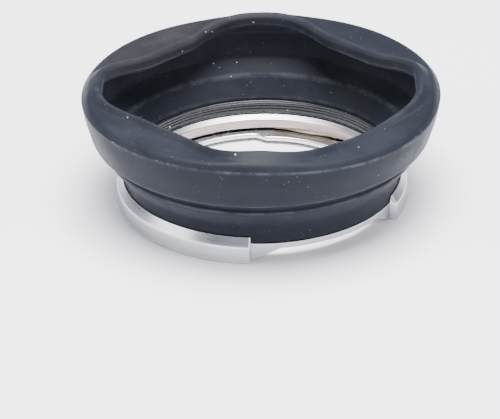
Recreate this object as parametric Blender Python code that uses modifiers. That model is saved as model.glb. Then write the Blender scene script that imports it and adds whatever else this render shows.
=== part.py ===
"""Collapsible rubber lens shade on an aluminium bayonet mounting ring.

Metres, +Z up along the optical axis, away from the camera body. The origin is
the centre of the mounting ring's bottom face. The ring stays on the lens. The
rubber collar turns in the ring's groove, so that the squared opening can be
lined up, and the rim slides down over the collar while the web between them
folds. Angles run anticlockwise from +X, seen from above.
"""

import math

import bmesh
import bpy

MM = 0.001
TURN = 2.0 * math.pi

# Clearances
SEAT_GAP = 0.2 * MM
RUNNING_CLEARANCE = 0.1 * MM

# Mounting ring: radii from the bore outwards
BORE_RADIUS = 20.25 * MM
NECK_WALL = 1.25 * MM
LIP_LAND = 0.12 * MM
CHAMFER_RUN = 0.98 * MM
EDGE_BREAK = 0.15 * MM

# Mounting ring: heights
SKIRT_HEIGHT = 2.9 * MM
CHAMFER_RISE = 1.3 * MM
GROOVE_FLOOR = 3.0 * MM
NECK_TOP = 3.95 * MM
BORE_TOP = 3.4 * MM

# Cut-away that clears the second lens of the camera
CUTAWAY_CENTRE = math.radians(300.0)
CUTAWAY_SPAN = math.radians(70.0)
CUTAWAY_RAMP = math.radians(12.0)
CUTAWAY_HEIGHT = 2.1 * MM

# Bayonet plate under the ring
PLATE_BOTTOM = 0.35 * MM
PLATE_THICKNESS = 0.9 * MM
PLATE_RIM = 2.15 * MM
LIP_RADIUS = 19.1 * MM
LUG_RADIUS = 17.9 * MM
LUG_COUNT = 4
LUG_SPAN = math.radians(45.0)
LUG_EASE = math.radians(5.0)
FIRST_LUG = math.radians(67.5)

# Screws that hold the plate
SCREW_INSET = 0.7 * MM
SCREW_HEAD_RADIUS = 0.55 * MM
SCREW_HEAD_HEIGHT = 0.3 * MM
SCREW_SHANK_RADIUS = 0.3 * MM
SCREW_LENGTH = 2.1 * MM
SCREW_SLOT_WIDTH = 0.18 * MM
SCREW_SLOT_DEPTH = 0.12 * MM
SCREW_CLEARANCE = 0.12 * MM

# Leaf springs that take up the play of the bayonet
SPRING_GROOVE_DEPTH = 0.75 * MM
SPRING_HEIGHT = 0.4 * MM
SPRING_THICKNESS = 0.2 * MM
SPRING_BOW = 0.7 * MM
SPRING_SPAN = math.radians(32.0)

# Threaded ring that holds the rubber and takes a filter
THREAD_DEPTH = 0.25 * MM
THREAD_PITCH = 0.5 * MM
THREAD_RIDGES = 4
THREAD_RING_WALL = 0.25 * MM
THREAD_FLANGE = 0.2 * MM
THREAD_FLANGE_HEIGHT = 0.35 * MM
THREAD_RING_TOP = 6.35 * MM

# Rubber collar and the web that folds
COLLAR_WALL = 0.65 * MM
COLLAR_TOP = 6.75 * MM
COLLAR_LAND = 0.2 * MM
COLLAR_FLARE = 0.15 * MM
COLLAR_FLARE_HEIGHT = 0.5 * MM
HOOK_RISE = 0.25 * MM
WEB_WALL = 1.0 * MM
RIDGE_RADIUS = 25.5 * MM
RIDGE_HEIGHT = 9.7 * MM
RIDGE_PROUD = 0.4 * MM
RIDGE_HALF_HEIGHT = 0.2 * MM
RIDGE_FLANK_RISE = 0.5 * MM
RIDGE_FLANK_DROP = 0.35 * MM
WEB_TOP = 11.35 * MM
WEB_FLARE = 0.5 * MM

# Rubber rim
CREST_RADIUS = 29.0 * MM
CREST_HEIGHT = 18.6 * MM
CREST_ROUND = 0.2 * MM
CREST_ROUND_RISE = 0.45 * MM
SHOULDER_RUN = 0.95 * MM
SHOULDER_RISE = 1.15 * MM
WALL_BULGE = 0.35 * MM
WALL_BULGE_DROP = 2.2 * MM
FOOT_RADIUS = 27.4 * MM
FOOT_HEIGHT = 11.8 * MM
FOOT_ROUND = 0.2 * MM
FOOT_ROUND_RISE = 0.5 * MM
FOOT_WALL = 0.8 * MM
FOOT_FLOOR = 0.7 * MM
RIM_WALL = 1.5 * MM
FLANGE_RISE = 0.9 * MM
FLANGE_WALL = 1.4 * MM
FLANGE_FILLET = 0.4 * MM
LIP_UNDERCUT = 0.9 * MM
LIP_DROP = 0.3 * MM
BEAD_HEIGHT = 1.6 * MM
BEAD_WIDTH = 1.8 * MM
OPENING_SIDE = 20.4 * MM
OPENING_CORNER = 24.9 * MM
SIDE_STRAIGHT = math.radians(12.0)
FLAP_DIP = 1.0 * MM

# Fineness of the turned and lofted shapes
RING_STEPS = 64
RIM_STEPS = 80
SCREW_STEPS = 16

# Sizes that follow from the values above
NECK_RADIUS = BORE_RADIUS + NECK_WALL
THREAD_ROOT_RADIUS = NECK_RADIUS + RUNNING_CLEARANCE
THREAD_CREST_RADIUS = THREAD_ROOT_RADIUS - THREAD_DEPTH
THREAD_RING_RADIUS = THREAD_ROOT_RADIUS + THREAD_RING_WALL
THREAD_FLANGE_RADIUS = THREAD_RING_RADIUS + THREAD_FLANGE
COLLAR_INNER_RADIUS = THREAD_RING_RADIUS + RUNNING_CLEARANCE
COLLAR_RADIUS = COLLAR_INNER_RADIUS + COLLAR_WALL
CUP_RADIUS = COLLAR_RADIUS + RUNNING_CLEARANCE
LIP_TOP_RADIUS = CUP_RADIUS + LIP_LAND
SKIRT_RADIUS = LIP_TOP_RADIUS + CHAMFER_RUN
MOUNT_TOP = SKIRT_HEIGHT + CHAMFER_RISE
PLATE_TOP = PLATE_BOTTOM + PLATE_THICKNESS
PLATE_CEILING = PLATE_TOP + SEAT_GAP
PLATE_RADIUS = BORE_RADIUS + PLATE_RIM
RECESS_RADIUS = PLATE_RADIUS + SEAT_GAP
SPRING_GROOVE_RADIUS = BORE_RADIUS + SPRING_GROOVE_DEPTH
SPRING_BOTTOM = PLATE_CEILING + 0.5 * RUNNING_CLEARANCE
SPRING_CEILING = SPRING_BOTTOM + SPRING_HEIGHT + RUNNING_CLEARANCE
SCREW_CIRCLE = PLATE_RADIUS - SCREW_INSET
SCREW_BOTTOM = PLATE_BOTTOM + 0.5 * RUNNING_CLEARANCE
SCREW_HOLE_TOP = SCREW_BOTTOM + SCREW_LENGTH + SCREW_CLEARANCE
GAP_PITCH = TURN / LUG_COUNT


def smooth(value):
    """Ease a value from 0 to 1 without corners at either end."""
    value = min(max(value, 0.0), 1.0)
    return value * value * (3.0 - 2.0 * value)


def polar(radius, angle):
    """Return the x and y of a point at a radius and an angle."""
    return radius * math.cos(angle), radius * math.sin(angle)


def angle_from(angle, centre, period):
    """Return how far an angle is from the nearest of the centres, unsigned."""
    return abs((angle - centre + 0.5 * period) % period - 0.5 * period)


def side_angle(angle):
    """Return the angle from the middle of the nearest side of the squared opening."""
    return angle_from(angle, 0.125 * TURN, 0.25 * TURN)


def corner_share(angle):
    """Return 0 along the straight of a side, easing to 1 at the corners on the axes."""
    return smooth((side_angle(angle) - SIDE_STRAIGHT) / (0.125 * TURN - SIDE_STRAIGHT))


def opening_radius(angle):
    """Return the radius of the shade's squared opening."""
    straight = OPENING_SIDE / math.cos(side_angle(angle))
    return straight + (OPENING_CORNER - straight) * corner_share(angle)


def plate_inner_radius(angle):
    """Return the inner radius of the bayonet plate: its lip, or a lug."""
    outside = angle_from(angle, FIRST_LUG, GAP_PITCH) - 0.5 * LUG_SPAN
    share = 1.0 - smooth(outside / LUG_EASE + 0.5)
    return LIP_RADIUS + (LUG_RADIUS - LIP_RADIUS) * share


def clear_scene():
    """Remove every object that is in the file."""
    for old in list(bpy.data.objects):
        bpy.data.objects.remove(old, do_unlink=True)


def make_collection(name):
    """Return a new collection linked to the scene."""
    collection = bpy.data.collections.new(name)
    bpy.context.scene.collection.children.link(collection)
    return collection


def make_material(name, colour, roughness, metallic):
    """Return a Principled material."""
    material = bpy.data.materials.new(name)
    material.use_nodes = True
    shader = material.node_tree.nodes["Principled BSDF"]
    shader.inputs["Base Color"].default_value = (*colour, 1.0)
    shader.inputs["Roughness"].default_value = roughness
    shader.inputs["Metallic"].default_value = metallic
    return material


def make_empty(name, height, collection, parent=None):
    """Return an empty on the optical axis, which carries the pieces of one body."""
    empty = bpy.data.objects.new(name, None)
    empty.location = (0.0, 0.0, height)
    collection.objects.link(empty)
    if parent is not None:
        empty.parent = parent
        empty.location.z = height - parent.matrix_world.translation.z
    bpy.context.view_layer.update()
    return empty


def make_object(name, mesh, collection, material=None, carrier=None):
    """Link a mesh object, give it its material and hang it on its carrier."""
    piece = bpy.data.objects.new(name, mesh)
    collection.objects.link(piece)
    if material is not None:
        mesh.materials.append(material)
    if carrier is not None:
        piece.parent = carrier
        piece.matrix_parent_inverse = carrier.matrix_world.inverted()
    return piece


def make_cutter(name, mesh, collection):
    """Link a mesh that only cuts other pieces."""
    cutter = make_object(name, mesh, collection)
    cutter.hide_render = True
    cutter.display_type = "WIRE"
    return cutter


def closed_profile(name, points):
    """Return a mesh with one closed loop of edges in the XZ plane."""
    vertices = [(radius, 0.0, height) for radius, height in points]
    edges = [(i, (i + 1) % len(points)) for i in range(len(points))]
    mesh = bpy.data.meshes.new(name)
    mesh.from_pydata(vertices, edges, [])
    return mesh


def turn_profile(piece, steps):
    """Turn a piece's profile about Z with a Screw modifier."""
    screw = piece.modifiers.new("turned", "SCREW")
    screw.axis = "Z"
    screw.angle = TURN
    screw.steps = steps
    screw.render_steps = steps
    screw.use_merge_vertices = True
    screw.merge_threshold = 0.00001
    screw.use_smooth_shade = True


def turned_piece(name, points, steps, collection, material, carrier):
    """Return a piece turned from a closed profile that runs down its outer side."""
    piece = make_object(name, closed_profile(name, points), collection, material, carrier)
    turn_profile(piece, steps)
    return piece


def loft_mesh(name, sections, closed):
    """Return a mesh through unlike sections of equal point counts.

    A closed loft joins its last section to its first, and an open one is capped.
    """
    mesh_data = bmesh.new()
    rows = [[mesh_data.verts.new(point) for point in section] for section in sections]
    for index in range(len(rows) - (0 if closed else 1)):
        row, following = rows[index], rows[(index + 1) % len(rows)]
        for step in range(len(row)):
            after = (step + 1) % len(row)
            mesh_data.faces.new((row[step], row[after], following[after], following[step]))
    if not closed:
        mesh_data.faces.new(rows[0])
        mesh_data.faces.new(rows[-1])
    bmesh.ops.recalc_face_normals(mesh_data, faces=mesh_data.faces)
    mesh = bpy.data.meshes.new(name)
    mesh_data.to_mesh(mesh)
    mesh_data.free()
    return mesh


def flat_outline_mesh(name, outlines, bottom, height):
    """Return a closed mesh: flat outlines, the later ones holes, raised to a height."""
    curve = bpy.data.curves.new(name, "CURVE")
    curve.dimensions = "2D"
    curve.fill_mode = "BOTH"
    curve.extrude = 0.5 * height
    for outline in outlines:
        spline = curve.splines.new("POLY")
        spline.points.add(len(outline) - 1)
        for point, (x, y) in zip(spline.points, outline):
            point.co = (x, y, 0.0, 1.0)
        spline.use_cyclic_u = True
    guide = bpy.data.objects.new(name, curve)
    bpy.context.scene.collection.objects.link(guide)
    bpy.context.view_layer.update()
    evaluated = guide.evaluated_get(bpy.context.evaluated_depsgraph_get())
    mesh = bpy.data.meshes.new_from_object(evaluated)
    bpy.data.objects.remove(guide, do_unlink=True)
    mesh_data = bmesh.new()
    mesh_data.from_mesh(mesh)
    bmesh.ops.remove_doubles(mesh_data, verts=mesh_data.verts, dist=0.000001)
    for vertex in mesh_data.verts:
        vertex.co.z += bottom + 0.5 * height
    bmesh.ops.recalc_face_normals(mesh_data, faces=mesh_data.faces)
    mesh_data.to_mesh(mesh)
    mesh_data.free()
    return mesh


def cut(piece, cutter):
    """Subtract a cutter from a piece."""
    boolean = piece.modifiers.new(cutter.name, "BOOLEAN")
    boolean.operation = "DIFFERENCE"
    boolean.solver = "EXACT"
    boolean.object = cutter


def screw_angles():
    """Return the screws' angles: the middles of the gaps that the cut-away leaves."""
    angles = [FIRST_LUG + (index + 0.5) * GAP_PITCH for index in range(LUG_COUNT)]
    return [a for a in angles if angle_from(a, CUTAWAY_CENTRE, TURN) > 0.5 * CUTAWAY_SPAN]


def lip_cutter(collection):
    """Return the cutter that takes the skirt and the cup's lip off the cut-away."""
    start = CUTAWAY_CENTRE - 0.5 * CUTAWAY_SPAN
    count = 16
    angles = [start + CUTAWAY_SPAN * step / count for step in range(count + 1)]
    inner = [polar(COLLAR_RADIUS + 0.5 * RUNNING_CLEARANCE, a) for a in angles]
    outer = [polar(SKIRT_RADIUS + CHAMFER_RUN, a) for a in reversed(angles)]
    mesh = flat_outline_mesh("lip_cutter", [inner + outer], -MM, MOUNT_TOP + 2.0 * MM)
    return make_cutter("lip_cutter", mesh, collection)


def ramp_height(angle):
    """Return how high the underside stands in the cut-away, rising from both ends."""
    from_end = 0.5 * CUTAWAY_SPAN - angle_from(angle, CUTAWAY_CENTRE, TURN)
    return CUTAWAY_HEIGHT * min(from_end / CUTAWAY_RAMP, 1.0)


def underside_cutter(collection):
    """Return the cutter that lifts the ring's underside in the cut-away."""
    reach = 0.5 * CUTAWAY_SPAN + 0.25 * CUTAWAY_RAMP
    inner, outer = LUG_RADIUS - MM, SKIRT_RADIUS + MM
    count = 32
    sections = []
    for step in range(count + 1):
        angle = CUTAWAY_CENTRE - reach + 2.0 * reach * step / count
        top = ramp_height(angle)
        corners = ((inner, -MM), (outer, -MM), (outer, top), (inner, top))
        sections.append([(*polar(radius, angle), height) for radius, height in corners])
    return make_cutter("underside_cutter", loft_mesh("underside_cutter", sections, False),
                       collection)


def screw_hole_cutter(index, angle, collection):
    """Return the stepped cutter of one screw hole, through the plate into the ring."""
    head = SCREW_HEAD_RADIUS + SCREW_CLEARANCE
    shank = SCREW_SHANK_RADIUS + SCREW_CLEARANCE
    step = SCREW_BOTTOM + SCREW_HEAD_HEIGHT + SCREW_CLEARANCE
    profile = [(0.0, SCREW_HOLE_TOP), (shank, SCREW_HOLE_TOP), (shank, step),
               (head, step), (head, -MM), (0.0, -MM)]
    mesh = solid_of_revolution(f"screw_hole_cutter_{index}", profile)
    cutter = make_cutter(f"screw_hole_cutter_{index}", mesh, collection)
    cutter.location = (*polar(SCREW_CIRCLE, angle), 0.0)
    return cutter


def solid_of_revolution(name, profile):
    """Return a closed mesh of revolution; the profile starts and ends on the axis."""
    mesh_data = bmesh.new()
    chain = [mesh_data.verts.new((radius, 0.0, height)) for radius, height in profile]
    edges = [mesh_data.edges.new(pair) for pair in zip(chain, chain[1:])]
    bmesh.ops.spin(mesh_data, geom=chain + edges, cent=(0.0, 0.0, 0.0),
                   axis=(0.0, 0.0, 1.0), angle=TURN, steps=SCREW_STEPS)
    bmesh.ops.remove_doubles(mesh_data, verts=mesh_data.verts, dist=0.000001)
    bmesh.ops.recalc_face_normals(mesh_data, faces=mesh_data.faces)
    mesh = bpy.data.meshes.new(name)
    mesh_data.to_mesh(mesh)
    mesh_data.free()
    return mesh


def build_mount_ring(collection, cutters, material, carrier):
    """Turn the ring: skirt, chamfered cup, groove for the rubber, neck and bore."""
    profile = [
        (LIP_TOP_RADIUS, MOUNT_TOP),
        (SKIRT_RADIUS, SKIRT_HEIGHT),
        (SKIRT_RADIUS, EDGE_BREAK),
        (SKIRT_RADIUS - EDGE_BREAK, 0.0),
        (RECESS_RADIUS, 0.0),
        (RECESS_RADIUS, PLATE_CEILING),
        (SPRING_GROOVE_RADIUS, PLATE_CEILING),
        (SPRING_GROOVE_RADIUS, SPRING_CEILING),
        (BORE_RADIUS, SPRING_CEILING),
        (BORE_RADIUS, BORE_TOP),
        (THREAD_CREST_RADIUS, NECK_TOP),
        (NECK_RADIUS, NECK_TOP),
        (NECK_RADIUS, GROOVE_FLOOR),
        (CUP_RADIUS, GROOVE_FLOOR),
        (CUP_RADIUS, MOUNT_TOP),
    ]
    ring = turned_piece("mount_ring", profile, RING_STEPS, collection, material, carrier)
    for cutter in cutters:
        cut(ring, cutter)
    return ring


def build_bayonet_plate(collection, cutters, material, carrier):
    """Cut the bayonet plate with its lugs from flat stock."""
    count = 2 * RING_STEPS
    angles = [TURN * step / count for step in range(count)]
    outer = [polar(PLATE_RADIUS, angle) for angle in angles]
    inner = [polar(plate_inner_radius(angle), angle) for angle in angles]
    mesh = flat_outline_mesh("bayonet_plate", [outer, inner], PLATE_BOTTOM, PLATE_THICKNESS)
    plate = make_object("bayonet_plate", mesh, collection, material, carrier)
    for cutter in cutters:
        cut(plate, cutter)
    return plate


def build_plate_screw(index, angle, collection, cutters_home, material, carrier):
    """Turn one slotted plate screw, its head downwards."""
    head_top = SCREW_BOTTOM + SCREW_HEAD_HEIGHT
    tip = SCREW_BOTTOM + SCREW_LENGTH
    profile = [(0.0, tip), (SCREW_SHANK_RADIUS, tip), (SCREW_SHANK_RADIUS, head_top),
               (SCREW_HEAD_RADIUS, head_top), (SCREW_HEAD_RADIUS, SCREW_BOTTOM),
               (0.0, SCREW_BOTTOM)]
    name = f"plate_screw_{index}"
    screw = make_object(name, solid_of_revolution(name, profile), collection, material)
    screw.location = (*polar(SCREW_CIRCLE, angle), 0.0)
    bpy.context.view_layer.update()
    screw.parent = carrier
    screw.matrix_parent_inverse = carrier.matrix_world.inverted()
    half = 0.5 * SCREW_SLOT_WIDTH
    reach = 2.0 * SCREW_HEAD_RADIUS
    outline = [(-reach, -half), (reach, -half), (reach, half), (-reach, half)]
    slot_mesh = flat_outline_mesh(f"slot_cutter_{index}", [outline], -MM,
                                  MM + SCREW_BOTTOM + SCREW_SLOT_DEPTH)
    slot = make_cutter(f"slot_cutter_{index}", slot_mesh, cutters_home)
    slot.location = screw.location
    slot.rotation_euler.z = angle
    cut(screw, slot)
    return screw


def build_lock_spring(index, centre, collection, material, carrier):
    """Bend one leaf spring, which bows out of its groove into the bore."""
    count = 16
    outer_edge, inner_edge = [], []
    for step in range(count + 1):
        share = 2.0 * step / count - 1.0
        angle = centre + 0.5 * SPRING_SPAN * share
        bow = SPRING_BOW * math.cos(0.5 * math.pi * share) ** 2
        outer = SPRING_GROOVE_RADIUS - RUNNING_CLEARANCE - bow
        outer_edge.append(polar(outer, angle))
        inner_edge.append(polar(outer - SPRING_THICKNESS, angle))
    name = f"lock_spring_{index}"
    outline = outer_edge + list(reversed(inner_edge))
    mesh = flat_outline_mesh(name, [outline], SPRING_BOTTOM, SPRING_HEIGHT)
    return make_object(name, mesh, collection, material, carrier)


def build_thread_ring(collection, material, carrier):
    """Turn the threaded ring, which stands on the neck inside the rubber."""
    bottom = GROOVE_FLOOR + SEAT_GAP
    flange_bottom = THREAD_RING_TOP - THREAD_FLANGE_HEIGHT
    first_crest = NECK_TOP + 0.75 * SEAT_GAP
    profile = [
        (THREAD_FLANGE_RADIUS, THREAD_RING_TOP),
        (THREAD_FLANGE_RADIUS, flange_bottom),
        (THREAD_RING_RADIUS, flange_bottom),
        (THREAD_RING_RADIUS, bottom),
        (THREAD_ROOT_RADIUS, bottom),
        (THREAD_ROOT_RADIUS, first_crest),
    ]
    for ridge in range(THREAD_RIDGES):
        height = first_crest + ridge * THREAD_PITCH
        profile.append((THREAD_CREST_RADIUS, height))
        profile.append((THREAD_ROOT_RADIUS - 0.1 * THREAD_DEPTH, height + 0.5 * THREAD_PITCH))
    profile.append((THREAD_ROOT_RADIUS - 0.1 * THREAD_DEPTH, THREAD_RING_TOP))
    return turned_piece("thread_ring", profile, RING_STEPS, collection, material, carrier)


def build_rubber_collar(collection, material, carrier):
    """Turn the collar, which sits in the cup and hooks under the threaded ring's flange."""
    flange_bottom = THREAD_RING_TOP - THREAD_FLANGE_HEIGHT
    hook = flange_bottom - RUNNING_CLEARANCE
    flange_clear = THREAD_FLANGE_RADIUS + RUNNING_CLEARANCE
    top_inner = flange_clear + COLLAR_LAND
    profile = [
        (top_inner + 0.75 * WEB_WALL, COLLAR_TOP),
        (COLLAR_RADIUS + COLLAR_FLARE, flange_bottom),
        (COLLAR_RADIUS, hook - COLLAR_FLARE_HEIGHT),
        (COLLAR_RADIUS, GROOVE_FLOOR + SEAT_GAP),
        (COLLAR_INNER_RADIUS, GROOVE_FLOOR + SEAT_GAP),
        (COLLAR_INNER_RADIUS, hook),
        (flange_clear, hook),
        (flange_clear, THREAD_RING_TOP + HOOK_RISE),
        (top_inner, COLLAR_TOP + 0.25 * WEB_WALL),
    ]
    return turned_piece("rubber_collar", profile, RING_STEPS, collection, material, carrier)


def build_rubber_fold(collection, material, carrier):
    """Turn the web with its ridge, which folds when the rim slides down."""
    top_inner = THREAD_FLANGE_RADIUS + RUNNING_CLEARANCE + COLLAR_LAND
    start = top_inner + SEAT_GAP
    neck = RIDGE_RADIUS - RIDGE_PROUD
    ridge_top = RIDGE_HEIGHT + RIDGE_HALF_HEIGHT
    ridge_bottom = RIDGE_HEIGHT - RIDGE_HALF_HEIGHT
    profile = [
        (RIDGE_RADIUS + WEB_FLARE, WEB_TOP),
        (neck + 0.25 * RIDGE_PROUD, WEB_TOP - WEB_FLARE),
        (neck, ridge_top + RIDGE_FLANK_RISE),
        (RIDGE_RADIUS, ridge_top),
        (RIDGE_RADIUS, ridge_bottom),
        (neck + 0.25 * RIDGE_PROUD, ridge_bottom - RIDGE_FLANK_DROP),
        (start + 0.75 * WEB_WALL, COLLAR_TOP + SEAT_GAP),
        (start, COLLAR_TOP + SEAT_GAP + 0.25 * WEB_WALL),
        (RIDGE_RADIUS - 1.2 * WEB_WALL, RIDGE_HEIGHT + 0.25 * WEB_WALL),
        (neck + 0.25 * RIDGE_PROUD, WEB_TOP + 0.15 * WEB_WALL),
    ]
    return turned_piece("rubber_fold", profile, RING_STEPS, collection, material, carrier)


def rim_section(angle):
    """Return the rim's section at an angle, down its outer side and up its inner side."""
    opening = opening_radius(angle)
    web_bottom = WEB_TOP + SEAT_GAP
    flange_edge = CREST_HEIGHT + FLANGE_RISE - FLAP_DIP * (1.0 - corner_share(angle))
    bead_top = flange_edge + BEAD_HEIGHT
    inner_wall = CREST_RADIUS - RIM_WALL
    return [
        (opening + 0.5 * BEAD_WIDTH, bead_top),
        (opening + 0.8 * BEAD_WIDTH, bead_top - 0.2 * BEAD_HEIGHT),
        (opening + BEAD_WIDTH, flange_edge + 0.15 * BEAD_HEIGHT),
        (CREST_RADIUS - SHOULDER_RUN, CREST_HEIGHT + SHOULDER_RISE),
        (CREST_RADIUS - CREST_ROUND, CREST_HEIGHT + CREST_ROUND_RISE),
        (CREST_RADIUS, CREST_HEIGHT),
        (CREST_RADIUS - WALL_BULGE, CREST_HEIGHT - WALL_BULGE_DROP),
        (FOOT_RADIUS + 0.5 * FOOT_ROUND, FOOT_HEIGHT + FOOT_ROUND_RISE),
        (FOOT_RADIUS - FOOT_ROUND, FOOT_HEIGHT),
        (RIDGE_RADIUS + 0.75 * WEB_WALL, web_bottom),
        (RIDGE_RADIUS - 0.05 * WEB_WALL, web_bottom + 0.15 * WEB_WALL),
        (FOOT_RADIUS - FOOT_WALL, FOOT_HEIGHT + FOOT_FLOOR),
        (inner_wall - 0.5 * FLANGE_FILLET, CREST_HEIGHT - FLANGE_WALL - FLANGE_FILLET),
        (opening + LIP_UNDERCUT, flange_edge - FLANGE_WALL + 0.5 * FLANGE_FILLET),
        (opening, flange_edge - LIP_DROP),
        (opening, flange_edge + 0.45 * BEAD_HEIGHT),
        (opening + 0.18 * BEAD_WIDTH, bead_top - 0.2 * BEAD_HEIGHT),
    ]


def build_rubber_rim(collection, material, carrier):
    """Loft the rim between its round wall and its squared, beaded opening."""
    sections = []
    for step in range(RIM_STEPS):
        angle = TURN * step / RIM_STEPS
        section = rim_section(angle)
        sections.append([(*polar(radius, angle), height) for radius, height in section])
    mesh = loft_mesh("rubber_rim", sections, True)
    mesh.shade_smooth()
    return make_object("rubber_rim", mesh, collection, material, carrier)


def main():
    """Build the shade."""
    clear_scene()
    shade = make_collection("rubber_lens_shade")
    cutters = make_collection("cutters")

    aluminium = make_material("satin_aluminium", (0.78, 0.78, 0.80), 0.34, 1.0)
    steel = make_material("bright_steel", (0.62, 0.61, 0.60), 0.3, 1.0)
    bronze = make_material("spring_bronze", (0.55, 0.40, 0.24), 0.35, 1.0)
    black = make_material("black_anodised", (0.018, 0.019, 0.022), 0.25, 0.4)
    rubber = make_material("black_rubber", (0.030, 0.033, 0.042), 0.6, 0.0)

    mount = make_empty("mount_carrier", 0.0, shade)
    turn_axis = make_empty("hood_turn_axis", GROOVE_FLOOR, shade, mount)
    slide_axis = make_empty("hood_collapse_axis", WEB_TOP, shade, turn_axis)

    lip = lip_cutter(cutters)
    underside = underside_cutter(cutters)
    angles = screw_angles()
    holes = [screw_hole_cutter(i + 1, angle, cutters) for i, angle in enumerate(angles)]

    build_mount_ring(shade, [lip, underside, *holes], aluminium, mount)
    build_bayonet_plate(shade, [underside, *holes], steel, mount)
    for index, angle in enumerate(angles, start=1):
        build_plate_screw(index, angle, shade, cutters, steel, mount)
    for index, centre in enumerate((FIRST_LUG, FIRST_LUG + 0.5 * TURN), start=1):
        build_lock_spring(index, centre, shade, bronze, mount)
    build_thread_ring(shade, black, mount)
    build_rubber_collar(shade, rubber, turn_axis)
    build_rubber_fold(shade, rubber, turn_axis)
    build_rubber_rim(shade, rubber, slide_axis)


main()
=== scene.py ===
"""Looks of a collapsible rubber lens shade on an aluminium bayonet ring.

Metres, +Z up along the optical axis. Angles run anticlockwise from +X, seen
from above. Each sub-assembly is a class that holds its sizes, builds its
meshes and dresses them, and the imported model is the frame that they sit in.
"""

import logging
import math
from dataclasses import dataclass, field
from enum import Enum
from functools import lru_cache

import bmesh
import bpy
from mathutils import Matrix, Vector


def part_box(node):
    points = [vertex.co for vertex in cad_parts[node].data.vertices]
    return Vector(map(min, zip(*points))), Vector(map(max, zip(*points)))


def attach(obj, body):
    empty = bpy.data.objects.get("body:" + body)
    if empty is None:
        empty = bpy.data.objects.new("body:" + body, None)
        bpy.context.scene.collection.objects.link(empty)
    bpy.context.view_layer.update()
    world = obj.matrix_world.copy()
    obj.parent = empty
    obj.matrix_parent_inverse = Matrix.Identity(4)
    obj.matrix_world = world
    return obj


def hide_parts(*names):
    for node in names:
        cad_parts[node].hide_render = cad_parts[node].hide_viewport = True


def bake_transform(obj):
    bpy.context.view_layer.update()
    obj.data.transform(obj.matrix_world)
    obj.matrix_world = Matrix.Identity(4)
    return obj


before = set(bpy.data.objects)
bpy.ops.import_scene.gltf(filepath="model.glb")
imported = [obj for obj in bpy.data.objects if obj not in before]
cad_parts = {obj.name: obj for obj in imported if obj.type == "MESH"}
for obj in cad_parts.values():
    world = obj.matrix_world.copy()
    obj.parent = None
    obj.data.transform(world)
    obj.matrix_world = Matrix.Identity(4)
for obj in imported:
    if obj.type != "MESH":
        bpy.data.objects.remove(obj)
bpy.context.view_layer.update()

LOG = logging.getLogger("lens_shade")
MM = 0.001
TURN = 2.0 * math.pi
WELD = 0.002 * MM
# Mesh attribute of rubbed edges, which the finishes also lighten as a painted highlight.
EDGE_ATTRIBUTE = "worn_and_highlit_edge"

Point = tuple[float, float]
Row = list[tuple[float, float, float]]


class Body(str, Enum):
    """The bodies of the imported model."""

    MOUNT = "mount"
    SHADE_BASE = "shade_base"
    SHADE_FRONT = "shade_front"


class Slot(str, Enum):
    """Names of material slots."""

    ALUMINIUM = "satin_aluminium"
    STEEL = "bright_steel"
    BRONZE = "spring_bronze"
    BLACK = "black_anodised"
    RUBBER = "black_rubber"


# ---------------------------------------------------------------- geometry


@lru_cache(maxsize=None)
def node_box(node: str) -> tuple[Vector, Vector]:
    """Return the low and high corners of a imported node's box, measured once."""
    low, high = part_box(node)
    return Vector(low), Vector(high)


def smooth(value: float) -> float:
    """Ease a value from 0 to 1 without corners at either end."""
    value = min(max(value, 0.0), 1.0)
    return value * value * (3.0 - 2.0 * value)


def polar(radius: float, angle: float) -> Point:
    """Return the x and y of a point at a radius and an angle."""
    return radius * math.cos(angle), radius * math.sin(angle)


def angle_from(angle: float, centre: float, period: float = TURN) -> float:
    """Return how far an angle is from the nearest of the centres, unsigned."""
    return abs((angle - centre + 0.5 * period) % period - 0.5 * period)


def bump(angle: float, centre: float, width: float) -> float:
    """Return 1 at an angle, easing to 0 at a width to each side of it."""
    return 1.0 - smooth(angle_from(angle, centre) / width)


@dataclass(frozen=True)
class Corner:
    """One corner of a ring's section.

    Attributes:
        radius: distance from the axis.
        height: height above the ring's bottom face.
        rounding: length of the round on each side of the corner.
        wear_and_highlight: how much the edge is rubbed bare and lightened as a painted highlight,
            from 0 to 1.
    """

    radius: float
    height: float
    rounding: float = 0.03 * MM
    wear_and_highlight: float = 0.0


@dataclass(frozen=True)
class SectionPoint:
    """One point of a rounded section, with how far its corner is rubbed bare and lightened as a
    painted highlight.
    """

    radius: float
    height: float
    wear_and_highlight: float


def rounded_section(corners: list[Corner], steps: int = 4) -> list[SectionPoint]:
    """Round a closed section's corners and support the flats between them.

    Args:
        corners: the section, down its outer side and up its inner side.
        steps: straight pieces in each round.

    Returns:
        Points in the same order, always the same number for the same corners.
    """
    points: list[SectionPoint] = []
    count = len(corners)
    for index, corner in enumerate(corners):
        here = Vector((corner.radius, corner.height))
        before = corners[index - 1]
        after = corners[(index + 1) % count]
        towards = []
        for other in (before, after):
            leg = Vector((other.radius, other.height)) - here
            reach = min(corner.rounding, 0.45 * leg.length)
            towards.append(here + leg.normalized() * reach if leg.length > 0.0 else here)
        start, end = towards
        for step in range(steps + 1):
            share = step / steps
            spot = start.lerp(here, share).lerp(here.lerp(end, share), share)
            points.append(SectionPoint(spot.x, spot.y, corner.wear_and_highlight))
    supported: list[SectionPoint] = []
    per_corner = steps + 1
    for index, point in enumerate(points):
        supported.append(point)
        if index % per_corner == per_corner - 1:
            following = points[(index + 1) % len(points)]
            for share in (0.15, 0.5, 0.85):
                supported.append(SectionPoint(
                    point.radius + (following.radius - point.radius) * share,
                    point.height + (following.height - point.height) * share, 0.0))
    return supported


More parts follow.
